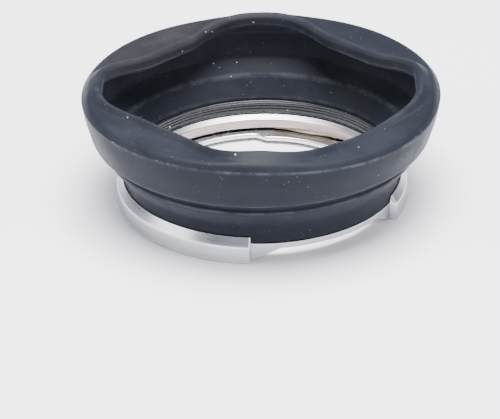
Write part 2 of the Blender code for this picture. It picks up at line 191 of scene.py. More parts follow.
def loft(name: str, rows: list[Row], wear_and_highlight: list[list[float]], closed: bool) -> bpy.types.Mesh:
    """Skin rows of points, each row a closed section.

    Args:
        name: the mesh's name.
        rows: sections of equal length.
        wear_and_highlight: how much each point's edge is rubbed bare and lightened as a painted
            highlight, in the same layout.
        closed: whether the last row joins the first; otherwise both ends are capped.

    Returns:
        A mesh with its doubles merged and its faces pointing out.
    """
    skin = bmesh.new()
    layer = skin.verts.layers.float.new(EDGE_ATTRIBUTE)
    grid = []
    for row, row_wear_and_highlight in zip(rows, wear_and_highlight):
        made = [skin.verts.new(point) for point in row]
        for vertex, value in zip(made, row_wear_and_highlight):
            vertex[layer] = value
        grid.append(made)
    for index in range(len(grid) - (0 if closed else 1)):
        row, following = grid[index], grid[(index + 1) % len(grid)]
        for step in range(len(row)):
            after = (step + 1) % len(row)
            skin.faces.new((row[step], row[after], following[after], following[step]))
    if not closed:
        skin.faces.new(grid[0])
        skin.faces.new(grid[-1])
    bmesh.ops.remove_doubles(skin, verts=skin.verts, dist=WELD)
    bmesh.ops.dissolve_degenerate(skin, edges=skin.edges, dist=0.2 * WELD)
    bmesh.ops.recalc_face_normals(skin, faces=skin.faces)
    mesh = bpy.data.meshes.new(name)
    skin.to_mesh(mesh)
    skin.free()
    mesh.shade_smooth()
    return mesh


def ring_mesh(name: str, section_at, angles: list[float], closed: bool = True,
              steps: int = 4) -> bpy.types.Mesh:
    """Loft a ring whose section may change with the angle.

    Args:
        name: the mesh's name.
        section_at: returns the section's corners at an angle.
        angles: where the sections stand.
        closed: whether the ring closes on itself.
        steps: straight pieces in each round.

    Returns:
        The ring's mesh.
    """
    rows, wear_and_highlight = [], []
    for angle in angles:
        section = rounded_section(section_at(angle), steps)
        rows.append([(*polar(p.radius, angle), p.height) for p in section])
        wear_and_highlight.append([p.wear_and_highlight for p in section])
    return loft(name, rows, wear_and_highlight, closed)


def even_angles(count: int, start: float = 0.0, span: float = TURN) -> list[float]:
    """Return evenly spaced angles round a full turn from a start."""
    return [start + span * index / count for index in range(count)]


def make_piece(name: str, mesh: bpy.types.Mesh, material: bpy.types.Material) -> bpy.types.Object:
    """Link a mesh as a piece with its material."""
    piece = bpy.data.objects.new(name, mesh)
    bpy.context.scene.collection.objects.link(piece)
    mesh.materials.clear()
    mesh.materials.append(material)
    return piece


def bake_modifiers(piece: bpy.types.Object) -> None:
    """Turn a piece and its live modifiers into a plain mesh."""
    bpy.context.view_layer.update()
    evaluated = piece.evaluated_get(bpy.context.evaluated_depsgraph_get())
    mesh = bpy.data.meshes.new_from_object(evaluated)
    piece.modifiers.clear()
    piece.data = mesh


def report(piece: bpy.types.Object, body: Body) -> None:
    """Log a finished piece."""
    LOG.info("%s: %d faces on %s", piece.name, len(piece.data.polygons), body.value)


# ------------------------------------------------------------ shader groups


class Nodes:
    """A small helper that adds and joins the nodes of one tree."""

    def __init__(self, tree: bpy.types.NodeTree) -> None:
        """Work on one node tree."""
        self.tree = tree

    def add(self, kind: str, settings: dict | None = None, **inputs) -> bpy.types.Node:
        """Add a node.

        Args:
            kind: the node's type.
            settings: properties of the node itself.
            inputs: values or sockets for its inputs, by name; spaces are underscores.

        Returns:
            The new node.
        """
        node = self.tree.nodes.new(kind)
        for key, value in (settings or {}).items():
            setattr(node, key, value)
        for key, value in inputs.items():
            self.feed(node, key.replace("_", " "), value)
        return node

    def feed(self, node: bpy.types.Node, name: str, value) -> None:
        """Give one input of a node a value or a link, by its name or its place."""
        socket = node.inputs[int(name[1:])] if name[1:].isdigit() else node.inputs[name]
        if isinstance(value, bpy.types.NodeSocket):
            self.tree.links.new(value, socket)
        else:
            socket.default_value = value

    def math(self, operation: str, first, second=0.0, clamp: bool = False) -> bpy.types.NodeSocket:
        """Add a maths node and return its result."""
        node = self.add("ShaderNodeMath", {"operation": operation, "use_clamp": clamp},
                        i0=first, i1=second)
        return node.outputs[0]

    def ramp(self, value, low: float, high: float, out_low: float = 0.0,
             out_high: float = 1.0) -> bpy.types.NodeSocket:
        """Map a value smoothly from one range to another and return the result."""
        node = self.add("ShaderNodeMapRange", {"interpolation_type": "SMOOTHSTEP"},
                        i0=value, i1=low, i2=high, i3=out_low, i4=out_high)
        return node.outputs[0]

    def mix(self, share, first, second) -> bpy.types.NodeSocket:
        """Mix two colours by a share and return the result."""
        node = self.add("ShaderNodeMix", {"data_type": "RGBA"}, i0=share, i6=first, i7=second)
        return node.outputs[2]


def new_group(name: str, inputs: dict[str, tuple[str, object]],
              outputs: dict[str, str]) -> tuple[bpy.types.NodeTree, Nodes, dict, bpy.types.Node]:
    """Start a shader node group.

    Args:
        name: the group's name.
        inputs: each input's socket type and default value.
        outputs: each output's socket type.

    Returns:
        The group, its helper, its input sockets by name and its output node.
    """
    group = bpy.data.node_groups.new(name, "ShaderNodeTree")
    for label, (kind, value) in inputs.items():
        socket = group.interface.new_socket(label, in_out="INPUT", socket_type=kind)
        if value is not None:
            socket.default_value = value
    for label, kind in outputs.items():
        group.interface.new_socket(label, in_out="OUTPUT", socket_type=kind)
    nodes = Nodes(group)
    given = nodes.add("NodeGroupInput")
    result = nodes.add("NodeGroupOutput")
    return group, nodes, {s.name: s for s in given.outputs if s.name}, result


FLOAT = "NodeSocketFloat"
VECTOR = "NodeSocketVector"


def specks_group() -> bpy.types.NodeTree:
    """Build the group for specks of dust: a mask of small, rare, round spots."""
    group, nodes, given, result = new_group(
        "dust_specks",
        {"Vector": (VECTOR, None), "Scale": (FLOAT, 900.0), "Size": (FLOAT, 0.2),
         "Rarity": (FLOAT, 0.9)},
        {"Mask": FLOAT})
    cells = nodes.add("ShaderNodeTexVoronoi", {"feature": "F1"},
                      Vector=given["Vector"], Scale=given["Scale"])
    pick = nodes.add("ShaderNodeSeparateColor", Color=cells.outputs["Color"])
    spot = nodes.math("LESS_THAN", cells.outputs["Distance"],
                      nodes.math("MULTIPLY", given["Size"], pick.outputs[1]))
    chosen = nodes.math("GREATER_THAN", pick.outputs[0], given["Rarity"])
    nodes.feed(result, "Mask", nodes.math("MULTIPLY", spot, chosen))
    return group


def scratches_group() -> bpy.types.NodeTree:
    """Build the group for fine scratches: a mask of thin streaks along one direction."""
    group, nodes, given, result = new_group(
        "fine_scratches",
        {"Vector": (VECTOR, None), "Stretch": (VECTOR, (60.0, 60.0, 900.0)),
         "Amount": (FLOAT, 0.5)},
        {"Mask": FLOAT, "Height": FLOAT})
    stretched = nodes.add("ShaderNodeVectorMath", {"operation": "MULTIPLY"},
                          i0=given["Vector"], i1=given["Stretch"])
    noise = nodes.add("ShaderNodeTexNoise", Vector=stretched.outputs[0], Scale=3.0, Detail=6.0,
                      Roughness=0.7)
    patches = nodes.add("ShaderNodeTexNoise", Vector=given["Vector"], Scale=160.0, Detail=2.0)
    streak = nodes.ramp(noise.outputs[0], 0.56, 0.72)
    gate = nodes.ramp(patches.outputs[0], nodes.math("SUBTRACT", 0.75, given["Amount"]), 0.8)
    nodes.feed(result, "Mask", nodes.math("MULTIPLY", streak, gate))
    nodes.feed(result, "Height", noise.outputs[0])
    return group


def mottle_group() -> bpy.types.NodeTree:
    """Build the group for cloudy unevenness: a soft coarse mask and a fine grain."""
    group, nodes, given, result = new_group(
        "cloudy_mottle",
        {"Vector": (VECTOR, None), "Scale": (FLOAT, 90.0), "Grain": (FLOAT, 2600.0)},
        {"Cloud": FLOAT, "Grain": FLOAT})
    coarse = nodes.add("ShaderNodeTexNoise", Vector=given["Vector"], Scale=given["Scale"],
                       Detail=5.0, Roughness=0.62, Distortion=0.4)
    fine = nodes.add("ShaderNodeTexNoise", Vector=given["Vector"], Scale=given["Grain"],
                     Detail=3.0, Roughness=0.6)
    nodes.feed(result, "Cloud", nodes.ramp(coarse.outputs[0], 0.36, 0.68))
    nodes.feed(result, "Grain", fine.outputs[0])
    return group


def turning_group() -> bpy.types.NodeTree:
    """Build the group for a lathe's marks: rings that change with radius and height only."""
    group, nodes, given, result = new_group(
        "turning_marks",
        {"Vector": (VECTOR, None), "Pitch": (FLOAT, 5200.0)},
        {"Rings": FLOAT})
    parts = nodes.add("ShaderNodeSeparateXYZ", Vector=given["Vector"])
    across = nodes.math("POWER", nodes.math(
        "ADD", nodes.math("MULTIPLY", parts.outputs[0], parts.outputs[0]),
        nodes.math("MULTIPLY", parts.outputs[1], parts.outputs[1])), 0.5)
    spread = nodes.math("MULTIPLY", nodes.math("ADD", across, parts.outputs[2]), given["Pitch"])
    place = nodes.add("ShaderNodeCombineXYZ", i0=spread, i1=nodes.math(
        "MULTIPLY", parts.outputs[0], 30.0), i2=nodes.math("MULTIPLY", parts.outputs[1], 30.0))
    noise = nodes.add("ShaderNodeTexNoise", Vector=place.outputs[0], Scale=1.0, Detail=2.0,
                      Roughness=0.5)
    nodes.feed(result, "Rings", noise.outputs[0])
    return group


def reach_group() -> bpy.types.NodeTree:
    """Build the group for the distance from the axis."""
    group, nodes, given, result = new_group(
        "axis_distance", {"Vector": (VECTOR, None)}, {"Distance": FLOAT})
    flat = nodes.add("ShaderNodeVectorMath", {"operation": "MULTIPLY"},
                     i0=given["Vector"], i1=(1.0, 1.0, 0.0))
    length = nodes.add("ShaderNodeVectorMath", {"operation": "LENGTH"}, i0=flat.outputs[0])
    nodes.feed(result, "Distance", length.outputs["Value"])
    return group


class Effects:
    """The shader node groups that more than one finish uses, each built once."""

    def __init__(self) -> None:
        """Build every group."""
        self.specks = specks_group()
        self.scratches = scratches_group()
        self.mottle = mottle_group()
        self.turning = turning_group()
        self.reach = reach_group()


# ---------------------------------------------------------------- finishes


@dataclass(frozen=True)
class Finish:
    """What every finish shares: its name, colour and gloss."""

    name: str
    colour: tuple[float, float, float]
    roughness: float

    def start(self) -> tuple[bpy.types.Material, Nodes, bpy.types.Node, bpy.types.NodeSocket]:
        """Make the material with its shader.

        Returns:
            The material, its helper, its shader node and the object coordinates.
        """
        material = bpy.data.materials.new(self.name)
        material.use_nodes = True
        nodes = Nodes(material.node_tree)
        shader = material.node_tree.nodes["Principled BSDF"]
        shader.inputs["Base Color"].default_value = (*self.colour, 1.0)
        shader.inputs["Roughness"].default_value = self.roughness
        coordinates = nodes.add("ShaderNodeTexCoord").outputs["Object"]
        return material, nodes, shader, coordinates

    @staticmethod
    def group(nodes: Nodes, tree: bpy.types.NodeTree, **inputs) -> bpy.types.Node:
        """Place a shared group in a material with its own values."""
        node = nodes.add("ShaderNodeGroup", {"node_tree": tree})
        for key, value in inputs.items():
            nodes.feed(node, key.replace("_", " "), value)
        return node

    @staticmethod
    def edge_wear_and_highlight(nodes: Nodes) -> bpy.types.NodeSocket:
        """Return the mesh's own edge values: rubbed edges, lightened partly as a painted
        highlight.
        """
        return nodes.add("ShaderNodeAttribute", {"attribute_name": EDGE_ATTRIBUTE}).outputs["Fac"]

    @staticmethod
    def relief(nodes: Nodes, shader: bpy.types.Node, height: bpy.types.NodeSocket,
               depth: float, strength: float) -> None:
        """Give the shader a bump of a height's pattern."""
        bump_node = nodes.add("ShaderNodeBump", Strength=strength, Distance=depth, Height=height)
        nodes.feed(shader, "Normal", bump_node.outputs[0])


@dataclass(frozen=True)
class RubberFinish(Finish):
    """Moulded black rubber: bluish, dusty, paler where it has bloomed, paler along edges as
    rubbing and painted highlight, with a painted shade line in a crease.
    """

    bloom_colour: tuple[float, float, float] = (0.019, 0.0215, 0.031)
    dust_colour: tuple[float, float, float] = (0.42, 0.42, 0.43)
    sheen: float = 0.05
    grime_colour: tuple[float, float, float] = (0.030, 0.026, 0.024)
    grime_height: float = 18.2 * MM
    # Height of a painted shade line along a crease of the wall.
    crease_shade_height: float = 16.4 * MM

    def build(self, effects: Effects) -> bpy.types.Material:
        """Build the material."""
        material, nodes, shader, place = self.start()
        mottle = self.group(nodes, effects.mottle, Vector=place, Scale=95.0, Grain=3200.0)
        patches = self.group(nodes, effects.mottle, Vector=place, Scale=310.0, Grain=1400.0)
        cloud = mottle.outputs["Cloud"]
        base = nodes.mix(nodes.math("MULTIPLY", cloud, 0.42), (*self.colour, 1.0),
                         (*self.bloom_colour, 1.0))
        fine = nodes.math("MULTIPLY", patches.outputs["Cloud"], 0.10)
        base = nodes.mix(fine, base, (*self.bloom_colour, 1.0))
        # Edges lightened bluish: partly rubbing, partly a painted highlight along the crest and
        # ridges.
        wear_and_highlight = nodes.math("MULTIPLY", self.edge_wear_and_highlight(nodes),
                          nodes.ramp(patches.outputs["Cloud"], 0.0, 0.9, 0.15, 0.6))
        base = nodes.mix(wear_and_highlight, base, (0.070, 0.075, 0.092, 1.0))
        parts = nodes.add("ShaderNodeSeparateXYZ", Vector=place)
        upper = nodes.ramp(parts.outputs[2], self.grime_height, self.grime_height + 1.2 * MM)
        one_side = nodes.math("MULTIPLY",
                              nodes.ramp(parts.outputs[0], -18.0 * MM, 8.0 * MM, 1.0, 0.1),
                              nodes.ramp(parts.outputs[1], -4.0 * MM, 10.0 * MM, 0.1, 1.0))
        grime = nodes.math("MULTIPLY", nodes.math("MULTIPLY", upper, one_side),
                           nodes.ramp(cloud, 0.0, 1.0, 0.25, 0.5))
        base = nodes.mix(grime, base, (*self.grime_colour, 1.0))
        # Painted shade: a thin dark line along a crease round the wall, at one height.
        off_crease = nodes.math("ABSOLUTE", nodes.math("SUBTRACT", parts.outputs[2],
                                                     self.crease_shade_height))
        crease_shade = nodes.math("MULTIPLY", nodes.ramp(off_crease, 0.02 * MM, 0.09 * MM, 1.0, 0.0),
                          nodes.ramp(cloud, 0.2, 0.9, 0.1, 0.6))
        base = nodes.mix(crease_shade, base, (0.004, 0.0045, 0.006, 1.0))
        specks = self.group(nodes, effects.specks, Vector=place, Scale=1000.0, Size=0.17,
                            Rarity=0.975)
        flecks = self.group(nodes, effects.specks, Vector=place, Scale=3000.0, Size=0.25,
                            Rarity=0.93)
        dust = nodes.math("MAXIMUM", specks.outputs[0],
                          nodes.math("MULTIPLY", flecks.outputs[0], 0.35))
        base = nodes.mix(nodes.math("MULTIPLY", dust, 0.7), base, (*self.dust_colour, 1.0))
        nodes.feed(shader, "Base Color", base)
        rough = nodes.math("ADD", nodes.ramp(cloud, 0.0, 1.0, self.roughness,
                                             self.roughness + 0.14),
                           nodes.math("MULTIPLY", dust, 0.2), clamp=True)
        nodes.feed(shader, "Roughness", rough)
        shader.inputs["Specular IOR Level"].default_value = 0.09
        shader.inputs["Sheen Weight"].default_value = self.sheen
        shader.inputs["Sheen Roughness"].default_value = 0.45
        shader.inputs["Sheen Tint"].default_value = (0.72, 0.78, 1.0, 1.0)
        height = nodes.math("ADD", mottle.outputs["Grain"],
                            nodes.math("MULTIPLY", patches.outputs["Grain"], 0.8))
        self.relief(nodes, shader, height, 0.045 * MM, 0.30)
        return material


@dataclass(frozen=True)
class MetalFinish(Finish):
    """Turned or stamped bare metal, with its marks, scratches, rubbed edges lightened partly as a
    painted highlight, and a painted reflection in the bore.
    """

    tint: tuple[float, float, float] = (0.62, 0.62, 0.65)
    marks: float = 0.5
    scratches: float = 0.5
    specks: float = 0.5
    # Radius inside which the bore wall is painted with a darker reddish reflection.
    painted_reflection_radius: float = 0.0
    painted_reflection_colour: tuple[float, float, float] = (0.36, 0.25, 0.25)

    def build(self, effects: Effects) -> bpy.types.Material:
        """Build the material."""
        material, nodes, shader, place = self.start()
        shader.inputs["Metallic"].default_value = 1.0
        turning = self.group(nodes, effects.turning, Vector=place)
        mottle = self.group(nodes, effects.mottle, Vector=place, Scale=120.0, Grain=2600.0)
        streaks = self.group(nodes, effects.scratches, Vector=place, Amount=self.scratches)
        nicks = self.group(nodes, effects.specks, Vector=place, Scale=700.0, Size=0.30,
                           Rarity=0.965)
        base = nodes.mix(nodes.math("MULTIPLY", mottle.outputs["Cloud"], 0.55),
                         (*self.colour, 1.0), (*self.tint, 1.0))
        # Rubbed edges lightened towards bare metal, partly a painted highlight along edges that
        # catch the light.
        worn_and_highlit = nodes.math("MULTIPLY", self.edge_wear_and_highlight(nodes), 0.6)
        base = nodes.mix(worn_and_highlit, base, (0.90, 0.90, 0.92, 1.0))
        # Painted reflection: the bore wall is tinted a darker red, streaked along its brushing.
        if self.painted_reflection_radius > 0.0:
            across = self.group(nodes, effects.reach, Vector=place)
            inside = nodes.ramp(across.outputs[0], self.painted_reflection_radius,
                                self.painted_reflection_radius + 0.25 * MM, 1.0, 0.0)
            share = nodes.math("MULTIPLY", inside, nodes.ramp(
                streaks.outputs["Height"], 0.35, 0.65, 0.65, 1.0))
            base = nodes.mix(share, base, (*self.painted_reflection_colour, 1.0))
        dark = nodes.math("MULTIPLY", nicks.outputs[0], self.specks)
        base = nodes.mix(dark, base, (0.16, 0.15, 0.15, 1.0))
        base = nodes.mix(nodes.math("MULTIPLY", streaks.outputs["Mask"], 0.35), base,
                         (0.93, 0.93, 0.95, 1.0))
        nodes.feed(shader, "Base Color", base)
        rough = nodes.math("ADD", nodes.ramp(turning.outputs[0], 0.3, 0.7, self.roughness - 0.06,
                                             self.roughness + 0.10),
                           nodes.math("MULTIPLY", mottle.outputs["Cloud"], 0.08), clamp=True)
        nodes.feed(shader, "Roughness", rough)
        height = nodes.math("ADD", nodes.math("MULTIPLY", turning.outputs[0], self.marks),
                            nodes.math("MULTIPLY", streaks.outputs["Height"], 0.35))
        self.relief(nodes, shader, height, 0.02 * MM, 0.35)
        return material


@dataclass(frozen=True)
class AnodisedFinish(Finish):
    """Glossy black anodising, cloudy and flecked with pale specks."""

    def build(self, effects: Effects) -> bpy.types.Material:
        """Build the material."""
        material, nodes, shader, place = self.start()
        shader.inputs["Specular IOR Level"].default_value = 0.35
        shader.inputs["Coat Weight"].default_value = 0.15
        shader.inputs["Coat Roughness"].default_value = 0.12
        mottle = self.group(nodes, effects.mottle, Vector=place, Scale=260.0, Grain=3000.0)
        specks = self.group(nodes, effects.specks, Vector=place, Scale=1300.0, Size=0.4,
                            Rarity=0.94)
        shine = nodes.math("MULTIPLY", mottle.outputs["Cloud"], 0.10)
        base = nodes.mix(shine, (*self.colour, 1.0), (0.06, 0.062, 0.07, 1.0))
        base = nodes.mix(specks.outputs[0], base, (0.5, 0.5, 0.52, 1.0))
        nodes.feed(shader, "Base Color", base)
        nodes.feed(shader, "Roughness", nodes.ramp(mottle.outputs["Cloud"], 0.0, 1.0,
                                                   self.roughness, self.roughness + 0.15))
        self.relief(nodes, shader, mottle.outputs["Grain"], 0.004 * MM, 0.1)
        return material


@dataclass(frozen=True)
class Finishes:
    """Every finish of the shade, as materials."""

    rubber: bpy.types.Material
    aluminium: bpy.types.Material
    steel: bpy.types.Material
    bronze: bpy.types.Material
    black: bpy.types.Material

    @classmethod
    def make(cls) -> "Finishes":
        """Build the materials."""
        effects = Effects()
        return cls(
            rubber=RubberFinish("moulded_rubber", (0.0080, 0.0090, 0.0140), 0.45).build(effects),
            aluminium=MetalFinish("satin_aluminium", (0.54, 0.54, 0.57), 0.30,
                                  tint=(0.40, 0.39, 0.43), specks=0.8,
                                  painted_reflection_radius=20.3 * MM).build(effects),
            steel=MetalFinish("bright_steel", (0.72, 0.70, 0.69), 0.26, tint=(0.55, 0.52, 0.50),
                              marks=0.2, scratches=0.35).build(effects),
            bronze=MetalFinish("spring_bronze", (0.62, 0.46, 0.28), 0.3, tint=(0.40, 0.29, 0.17),
                               marks=0.1, scratches=0.3).build(effects),
            black=AnodisedFinish("black_anodised", (0.012, 0.013, 0.016), 0.2).build(effects),
        )


# ------------------------------------------------------------ the metal ring


@dataclass(frozen=True)
class Cutaway:
    """The part of the ring that is milled away to clear the second lens."""

    centre: float = math.radians(300.0)
    span: float = math.radians(70.0)
    ramp: float = math.radians(12.0)
    height: float = 2.1 * MM

    def inside(self, angle: float) -> bool:
        """Return whether an angle is within the cut-away."""
        return angle_from(angle, self.centre) < 0.5 * self.span

    def underside(self, angle: float) -> float:
        """Return the underside's height at an angle, which ramps up from both ends."""
        from_end = 0.5 * self.span - angle_from(angle, self.centre)
        return self.height * min(max(from_end / self.ramp, 0.0), 1.0)

    def edges(self) -> tuple[float, float]:
        """Return the angles where the cut-away starts and ends."""
        return self.centre - 0.5 * self.span, self.centre + 0.5 * self.span


@dataclass
class MountAssembly:
    """The aluminium ring with its bayonet plate, screws, springs and threaded ring."""

    finishes: Finishes
    cutaway: Cutaway = field(default_factory=Cutaway)
    bore: float = 20.25 * MM
    bore_top: float = 3.4 * MM
    neck: float = 21.5 * MM
    neck_top: float = 3.95 * MM
    neck_land: float = 21.35 * MM
    groove_floor: float = 3.0 * MM
    cup: float = 22.7 * MM
    lip_land: float = 0.12 * MM
    skirt_height: float = 2.9 * MM
    recess: float = 22.6 * MM
    ceiling: float = 1.45 * MM
    spring_groove: float = 21.0 * MM
    spring_ceiling: float = 2.0 * MM
    lip: float = 19.1 * MM
    lug: float = 17.9 * MM
    lug_pitch: float = 0.25 * TURN
    lug_span: float = math.radians(45.0)
    lug_ease: float = math.radians(7.0)
    first_lug: float = math.radians(67.5)
    thread_pitch: float = 0.5 * MM
    thread_ridge: float = 0.13 * MM

    def ring_section(self, angle: float, cut: bool) -> list[Corner]:
        """Return the ring's section.

        Args:
            angle: where the section stands.
            cut: whether it is within the cut-away.

        Returns:
            The corners, down the outer side and up the inner side.
        """
        high = node_box("mount_ring")[1]
        skirt, top = high.y, high.z
        if not cut:
            return [
                Corner(self.cup + self.lip_land, top, 0.05 * MM, 0.8),
                Corner(skirt, self.skirt_height, 0.10 * MM, 0.9),
                Corner(skirt, 0.0, 0.14 * MM, 0.9),
                Corner(self.recess, 0.0, 0.06 * MM, 0.4),
                Corner(self.recess, self.ceiling),
                Corner(self.spring_groove, self.ceiling),
                Corner(self.spring_groove, self.spring_ceiling),
                Corner(self.bore, self.spring_ceiling, 0.05 * MM, 0.3),
                Corner(self.bore, self.bore_top, 0.11 * MM, 1.0),
                Corner(self.neck_land, self.neck_top, 0.05 * MM, 0.5),
                Corner(self.neck, self.neck_top),
                Corner(self.neck, self.groove_floor),
                Corner(self.cup, self.groove_floor),
                Corner(self.cup, top, 0.03 * MM, 0.8),
            ]
        face = self.cup - 0.05 * MM
        under = self.cutaway.underside(angle)
        floor = self.groove_floor
        inside_recess = self.recess - 0.04 * MM
        return [
            Corner(face, floor, 0.05 * MM, 0.7),
            Corner(face, floor - 0.25 * MM, 0.02 * MM),
            Corner(face, under, 0.08 * MM, 0.8),
            Corner(inside_recess, under, 0.01 * MM),
            Corner(inside_recess, max(self.ceiling, under), 0.01 * MM),
            Corner(self.spring_groove, max(self.ceiling, under), 0.01 * MM),
            Corner(self.spring_groove, max(self.spring_ceiling, under), 0.01 * MM),
            Corner(self.bore, max(self.spring_ceiling, under), 0.05 * MM, 0.3),
            Corner(self.bore, self.bore_top, 0.11 * MM, 1.0),
            Corner(self.neck_land, self.neck_top, 0.05 * MM, 0.5),
            Corner(self.neck, self.neck_top),
            Corner(self.neck, floor),
            Corner(face - 0.08 * MM, floor, 0.01 * MM),
            Corner(face - 0.04 * MM, floor, 0.01 * MM),
        ]

    def build_ring(self) -> bpy.types.Object:
        """Turn and mill the aluminium ring."""
        start, end = self.cutaway.edges()
        hair = math.radians(0.02)
        whole = TURN - self.cutaway.span
        turned_steps, milled_steps = 290, 96
        full = [end + hair + (whole - 2.0 * hair) * i / turned_steps
                for i in range(turned_steps + 1)]
        milled = [start + self.cutaway.span * i / milled_steps
                  for i in range(milled_steps + 1)]
        rows, wear_and_highlight = [], []
        for angles, cut in ((full, False), (milled, True)):
            for angle in angles:
                section = rounded_section(self.ring_section(angle, cut))
                rows.append([(*polar(p.radius, angle), p.height) for p in section])
                wear_and_highlight.append([p.wear_and_highlight for p in section])
        ring = make_piece("aluminium_ring", loft("aluminium_ring", rows, wear_and_highlight, True),
                          self.finishes.aluminium)
        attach(ring, Body.MOUNT.value)
        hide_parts("mount_ring")
        report(ring, Body.MOUNT)
        return ring

    def plate_edge(self, angle: float) -> float:
        """Return the inner radius of the bayonet plate: its lip, or a lug."""
        outside = angle_from(angle, self.first_lug, self.lug_pitch) - 0.5 * self.lug_span
        share = 1.0 - smooth(outside / self.lug_ease + 0.5)
        return self.lip + (self.lug - self.lip) * share

    def plate_section(self, angle: float) -> list[Corner]:
        """Return the plate's section, its inner edge rolled up a little."""
        low, high = node_box("bayonet_plate")
        outer = high.y
        bottom = max(low.z, self.cutaway.underside(angle))
        top = max(high.z, bottom)
        thick = top - bottom
        edge = self.plate_edge(angle)
        roll = min(0.28 * MM, 0.4 * thick)
        return [
            Corner(outer, top, 0.05 * MM),
            Corner(outer, bottom, 0.05 * MM),
            Corner(edge + 0.25 * MM, bottom, 0.15 * MM, 0.3),
            Corner(edge, bottom + 0.3 * thick, roll, 0.6),
            Corner(edge + 0.05 * MM, top, roll, 1.0),
            Corner(edge + 0.75 * MM, top, 0.15 * MM),
            Corner(edge + 1.0 * MM, top - 0.15 * thick, 0.15 * MM),
        ]

    def build_plate(self) -> bpy.types.Object:
        """Stamp the bayonet plate with its lugs, open where the ring is cut away."""
        high = node_box("bayonet_plate")[1]
        end = self.cutaway.edges()[1]
        fade = self.cutaway.ramp * (high.z / self.cutaway.height) - math.radians(0.3)
        whole = TURN - self.cutaway.span + 2.0 * fade
        steps = 320
        angles = [end - fade + whole * index / steps for index in range(steps + 1)]
        mesh = ring_mesh("lug_plate", self.plate_section, angles, closed=False)
        plate = make_piece("lug_plate", mesh, self.finishes.steel)
        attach(plate, Body.MOUNT.value)
        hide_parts("bayonet_plate")
        report(plate, Body.MOUNT)
        return plate

    def build_thread_ring(self) -> bpy.types.Object:
        """Turn the black ring that the thread is cut in."""
        low, high = node_box("thread_ring")
        outer, top = high.y, high.z
        body = outer - 0.2 * MM
        root = self.neck + 0.1 * MM
        ledge = self.neck_top + 0.15 * MM

        def section(_angle: float) -> list[Corner]:
            """Return the ring's section, the same all round."""
            return [
                Corner(outer, top, 0.06 * MM, 1.0),
                Corner(outer, top - 0.35 * MM, 0.04 * MM),
                Corner(body, top - 0.35 * MM, 0.03 * MM),
                Corner(body, low.z, 0.05 * MM),
                Corner(root, low.z, 0.05 * MM),
                Corner(root, ledge, 0.03 * MM),
                Corner(root - 0.25 * MM, ledge, 0.05 * MM, 0.6),
                Corner(root - 0.25 * MM, ledge + 0.12 * MM, 0.04 * MM),
                Corner(root - 0.02 * MM, ledge + 0.22 * MM, 0.04 * MM),
                Corner(root - 0.02 * MM, top - 0.1 * MM, 0.05 * MM, 0.8),
                Corner(root + 0.08 * MM, top, 0.05 * MM, 1.0),
            ]

        ring = make_piece("filter_ring", ring_mesh("filter_ring", section, even_angles(320)),
                          self.finishes.black)
        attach(ring, Body.MOUNT.value)
        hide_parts("thread_ring")
        report(ring, Body.MOUNT)
        self.build_thread(root, ledge + 0.42 * MM, top - 0.22 * MM)
        return ring

    def build_thread(self, root: float, bottom: float, top: float) -> bpy.types.Object:
        """Wind the thread's ridge as a helix inside the ring.

        Args:
            root: radius of the thread's root.
            bottom: height of the first turn.
            top: height of the last turn.

        Returns:
            The thread, a plain mesh.
        """
        turns = (top - bottom) / self.thread_pitch
        thread = wound_thread(root, self.thread_ridge, turns, bottom, top - bottom,
                              self.finishes.black)
        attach(thread, Body.MOUNT.value)
        report(thread, Body.MOUNT)
        return thread

    def build_springs(self) -> list[bpy.types.Object]:
        """Bend the two leaf springs that bow out of the ring's groove."""
        springs = []
        for index, centre in enumerate((self.first_lug, self.first_lug + 0.5 * TURN), start=1):
            node = f"lock_spring_{index}"
            low, high = node_box(node)
            rows, wear_and_highlight = [], []
            for step in range(49):
                share = step / 24.0 - 1.0
                angle = centre + math.radians(16.0) * share
                bow = 0.7 * MM * math.cos(0.5 * math.pi * share) ** 2
                outer = self.spring_groove - 0.1 * MM - bow
                section = rounded_section([
                    Corner(outer, high.z, 0.04 * MM, 0.5), Corner(outer, low.z, 0.04 * MM, 0.5),
                    Corner(outer - 0.2 * MM, low.z, 0.04 * MM, 0.5),
                    Corner(outer - 0.2 * MM, high.z, 0.04 * MM, 0.5)])
                rows.append([(*polar(p.radius, angle), p.height) for p in section])
                wear_and_highlight.append([p.wear_and_highlight for p in section])
            mesh = loft(f"leaf_spring_{index}", rows, wear_and_highlight, False)
            spring = make_piece(f"leaf_spring_{index}", mesh, self.finishes.bronze)
            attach(spring, Body.MOUNT.value)
            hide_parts(node)
            report(spring, Body.MOUNT)
            springs.append(spring)
        return springs

    def build_screws(self) -> bpy.types.Object:
        """Set the slotted screws that hold the plate, in the gaps between the lugs."""
        names = sorted(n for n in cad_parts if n.startswith("plate_screw"))
        low, high = node_box(names[-1])  # the first screw past the cut-away; the rest follow it
        centre = 0.5 * (low + high)
        first = math.atan2(centre.y, centre.x)
        screws = set_screws(ScrewSizes(
            circle=math.hypot(centre.x, centre.y), first=first, pitch=self.lug_pitch,
            count=len(names), bottom=low.z, length=high.z - low.z,
            head=0.5 * (high.x - low.x)), self.finishes.steel)
        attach(screws, Body.MOUNT.value)
        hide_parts(*names)
        report(screws, Body.MOUNT)
        return screws

    def build(self) -> None:
        """Build every piece of the mount."""
        self.build_ring()
        self.build_plate()
        self.build_thread_ring()
        self.build_springs()
        self.build_screws()


# ------------------------------------------------------- geometry node trees


